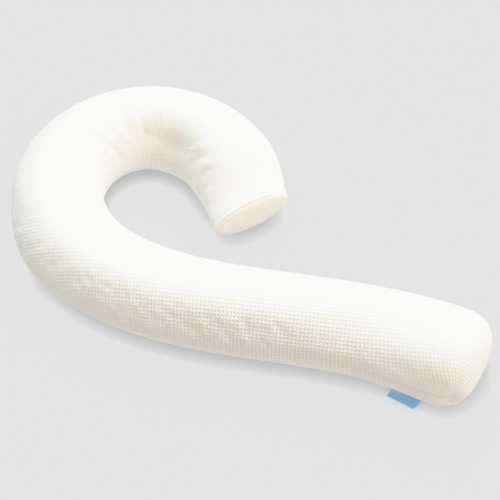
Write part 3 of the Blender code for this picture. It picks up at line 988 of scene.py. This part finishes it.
graph, shader = new_material(cover, "waffle cotton")
place = node(graph, "UVMap", {}, uv_map="flat cloth")
turned = node(
    graph, "Mapping",
    {"Vector": place.outputs[0], "Rotation": (0.0, 0.0, -math.radians(WAFFLE_TURN))},
)
parts = node(graph, "SeparateXYZ", {0: turned.outputs[0]})
rows = [
    share(graph, wave(graph, parts.outputs[axis], WAFFLE_CELL, "COSINE"), -1.0, 1.0)
    for axis in (0, 1)
]
ridges = maths(graph, "MAXIMUM", *rows)
stands = node(graph, "Attribute", {}, attribute_name="weave height")
height_drawn = maths(graph, "MULTIPLY", ridges, stands.outputs["Fac"])
print("waffle cells of", WAFFLE_CELL, "m, up to", WAFFLE_DEPTH, "m deep")

# %% Waffle cotton: its fuzz and colour
FUZZ_SIZE = 0.0015  # drawn coarser than the real yarn, so that it shows
FUZZ_DEPTH = 0.0002

here = node(graph, "TexCoord", {})
fuzz = node(graph, "TexNoise", {0: here.outputs["Object"], "Scale": 1 / FUZZ_SIZE, "Detail": 2.0})
fuzzy = relief(graph, fuzz.outputs[0], FUZZ_DEPTH, 0.5)
woven = relief(graph, height_drawn, WAFFLE_DEPTH, 1.0, Normal=fuzzy)
# The hollows are coloured darker and warmer than the ridges: painted shade.
tint_with_painted_hollow_shade = blend(graph, ridges, colour("#F7F3EB"), colour("#FAF9F5"))
cloth = {"Base Color": tint_with_painted_hollow_shade, "Normal": woven, "Roughness": 0.9, "Sheen Weight": 0.15}
connect(graph, shader, cloth)
print("on the cover:", cover.data.materials[0].name)

# %% [markdown]
# ### Plain cream cotton
#
# The end panel is plain-woven cotton, left in its natural cream. Its threads pass over and under
# each other like a fine basket, and every so often one is thicker than its neighbours, which
# gives the cloth its faint streaks.

# %% Plain cream cotton
THREAD = 0.0012  # metres; the real thread is half this, too fine to show
THREAD_DEPTH = 0.00015
SLUB = (0.030, 0.0015)  # length and width of a thick place in a thread
SLUB_DEPTH = 0.0006

graph, shader = new_material(panel, "plain cream cotton")
place = node(graph, "UVMap", {}, uv_map="flat panel")
parts = node(graph, "SeparateXYZ", {0: place.outputs[0]})
threads = [wave(graph, parts.outputs[axis], 2 * THREAD, "SINE") for axis in (0, 1)]
over_under = maths(graph, "MULTIPLY", *threads)
stretched = node(
    graph, "Mapping",
    {"Vector": place.outputs[0], "Scale": (1 / SLUB[0], 1 / SLUB[1], 1.0)},
)
slubs = node(graph, "TexNoise", {0: stretched.outputs[0], "Scale": 1.0, "Detail": 1.0})
cloudy = node(graph, "TexNoise", {0: place.outputs[0], "Scale": 35.0, "Detail": 2.0})
streaks = maths(graph, "ADD", slubs.outputs[0], cloudy.outputs[0])
cream = blend(graph, share(graph, streaks, 0.7, 1.3), colour("#F5F0E8"), colour("#FBF8F1"))
thick_places = relief(graph, slubs.outputs[0], SLUB_DEPTH, 0.6)
basket = relief(graph, over_under, THREAD_DEPTH, 0.8, Normal=thick_places)
cloth = {"Base Color": cream, "Normal": basket, "Roughness": 0.9, "Sheen Weight": 0.1}
connect(graph, shader, cloth)
print("on the panel:", panel.data.materials[0].name)

# %% [markdown]
# ### Woven tape
#
# The label is a narrow polyester tape. Its filling threads make fine ribs across it, its two
# woven edges are firmer and a little paler, and so is the fold, where it rubs. Polyester yarn is
# smoother than cotton, which gives it a slight sheen.

# %% Woven tape
RIB = 0.0014  # metres; the real ribs are half this, too fine to show
RIB_DEPTH = 0.0002
WOVEN_EDGE = 0.0022
WORN_FOLD = 0.0028
FADED = 0.4  # how far those two are on the way to the pale blue

graph, shader = new_material(label, "woven polyester tape")
place = node(graph, "UVMap", {}, uv_map="flat tape")
parts = node(graph, "SeparateXYZ", {0: place.outputs[0]})
from_middle = maths(graph, "ABSOLUTE", parts.outputs[0])
from_fold = maths(graph, "ABSOLUTE", parts.outputs[1])
edge = share(graph, from_middle, TAPE_WIDTH / 2 - WOVEN_EDGE, TAPE_WIDTH / 2)
fold = share(graph, from_fold, WORN_FOLD, 0.0)
faded = maths(graph, "MULTIPLY", maths(graph, "MAXIMUM", edge, fold), FADED)
yarn = node(graph, "TexNoise", {0: place.outputs[0], "Scale": 300.0, "Detail": 2.0})
blues = blend(graph, yarn.outputs[0], colour("#93CAF4"), colour("#A9DBFB"))
blue = blend(graph, faded, blues, colour("#C6E2F8"))
ribs = relief(graph, wave(graph, parts.outputs[1], RIB, "SINE"), RIB_DEPTH, 0.7)
cloth = {"Base Color": blue, "Normal": ribs, "Roughness": 0.6, "Sheen Weight": 0.2}
# The tape has a weak blue glow of its own: painted light that brightens it.
painted_blue_glow = {"Emission Color": colour("#3FA0F2"), "Emission Strength": 0.14}
connect(graph, shader, cloth | painted_blue_glow)
print("on the label:", label.data.materials[0].name)

# %% [markdown]
# ## The floor
#
# The pillow lies on a pale studio floor that is lit so evenly that only a narrow soft shade
# shows at the pillow's foot. A plain matt floor under three lights would carry a broad shadow,
# so most of this floor's brightness is its own, as on a light table, and that narrow shade is a
# painted shadow: the floor's own light is made less where something stands close by.

# %% Floor
PAINTED_SHADOW_REACH = 0.034  # metres: how far the shade at the pillow's foot spreads
FLOOR_IN_PAINTED_SHADOW = 0.40  # its own light, linear, right beside the pillow
FLOOR_OPEN = 0.752  # and out in the open
FLOOR_REFLECTS = 0.02

pick(camera)
bpy.ops.mesh.primitive_plane_add(size=30.0, location=(0.0, 0.0, 0.0))
floor = bpy.context.active_object
floor.name = "floor"
graph, shader = new_material(floor, "pale paper")
# Painted shadow: the floor's own light is lowered where the pillow stands close by.
closeness_for_painted_shadow = node(graph, "AmbientOcclusion", {"Distance": PAINTED_SHADOW_REACH}, samples=8)
painted_shadow_level, unshaded, reflects = (
    (level, level, level, 1.0) for level in (FLOOR_IN_PAINTED_SHADOW, FLOOR_OPEN, FLOOR_REFLECTS)
)
own_light_with_painted_shadow = {
    "Emission Color": blend(graph, closeness_for_painted_shadow.outputs["AO"], painted_shadow_level, unshaded),
    "Emission Strength": 1.0,
}
surface = {"Base Color": reflects, "Roughness": 1.0, "Specular IOR Level": 0.0}
connect(graph, shader, surface | own_light_with_painted_shadow)
print("the floor's own light:", FLOOR_IN_PAINTED_SHADOW, "to", FLOOR_OPEN)

# %% [markdown]
# ## The light
#
# The photograph has the light of a product studio: a pale room, one large softbox on each side, a
# third one high behind the pillow, and a weak warm card in front that gives the low cloth its
# cream tone. The card's light is pure red, which together with the room's is cream. Each is a sun
# with a wide disc, so its light is the same all over the pillow.

# %% The room and the softboxes
world = bpy.data.worlds.new("studio")
scene.world = world
world.use_nodes = True
room = world.node_tree.nodes["Background"]
room.inputs["Color"].default_value = (0.494, 0.495, 0.400, 1.0)
room.inputs["Strength"].default_value = 1.0

Light = namedtuple("Light", "name toward strength colour spread")
LIGHTS = (
    Light("left softbox", (-1.0, 0.3, 0.9), 0.30, (0.60, 0.90, 1.40), 50),
    Light("right softbox", (1.0, 0.2, 0.9), 1.24, (1.010, 0.988, 0.998), 50),
    Light("back softbox", (-0.3, 0.9, 1.6), 1.46, (0.947, 0.988, 1.060), 50),
    Light("warm front card", (0.65, -0.9, 0.33), 0.147, (1.0, 0.0, 0.0), 60),
)
for light in LIGHTS:
    lamp = bpy.data.objects.new(light.name, bpy.data.lights.new(light.name, "SUN"))
    set_all(
        lamp.data, energy=light.strength, color=light.colour, angle=math.radians(light.spread)
    )
    lamp.rotation_euler = Vector(light.toward).to_track_quat("Z", "Y").to_euler()
    scene.collection.objects.link(lamp)
print(len(LIGHTS), "lights")

# %% [markdown]
# ## The camera's response
#
# White cloth in strong light is near the top of what a camera can hold. A camera eases in to
# white there, so the weave on the pillow's crown fades out softly. A straight response would
# clip it instead. The curve is straight up to three quarters and then bends.

# %% Ease in to white
STRAIGHT_TO = 0.75
HURRY = 1.2  # above 1 it reaches white a little sooner
BRIGHTEST = 2.4
LEVELS = (0.25, 0.5, 0.65, 0.75, 0.82, 0.9, 1.0, 1.1, 1.25, 1.45, 1.8)


def held_back(light):
    """What the camera records of a linear light level."""
    room_left = 1 - STRAIGHT_TO
    above = max(light - STRAIGHT_TO, 0.0)
    return min(light, STRAIGHT_TO) + room_left * (1 - math.exp(-HURRY * above / room_left))


view = scene.view_settings
view.view_transform = "Standard"
view.use_curve_mapping = True
response = view.curve_mapping
response.white_level = (BRIGHTEST,) * 3
for level in LEVELS:
    response.curves[3].points.new(level / BRIGHTEST, held_back(level))
response.curves[3].points[-1].location = (1.0, held_back(BRIGHTEST))
response.update()
print("a linear 1.0 is recorded as", round(held_back(1.0), 3))
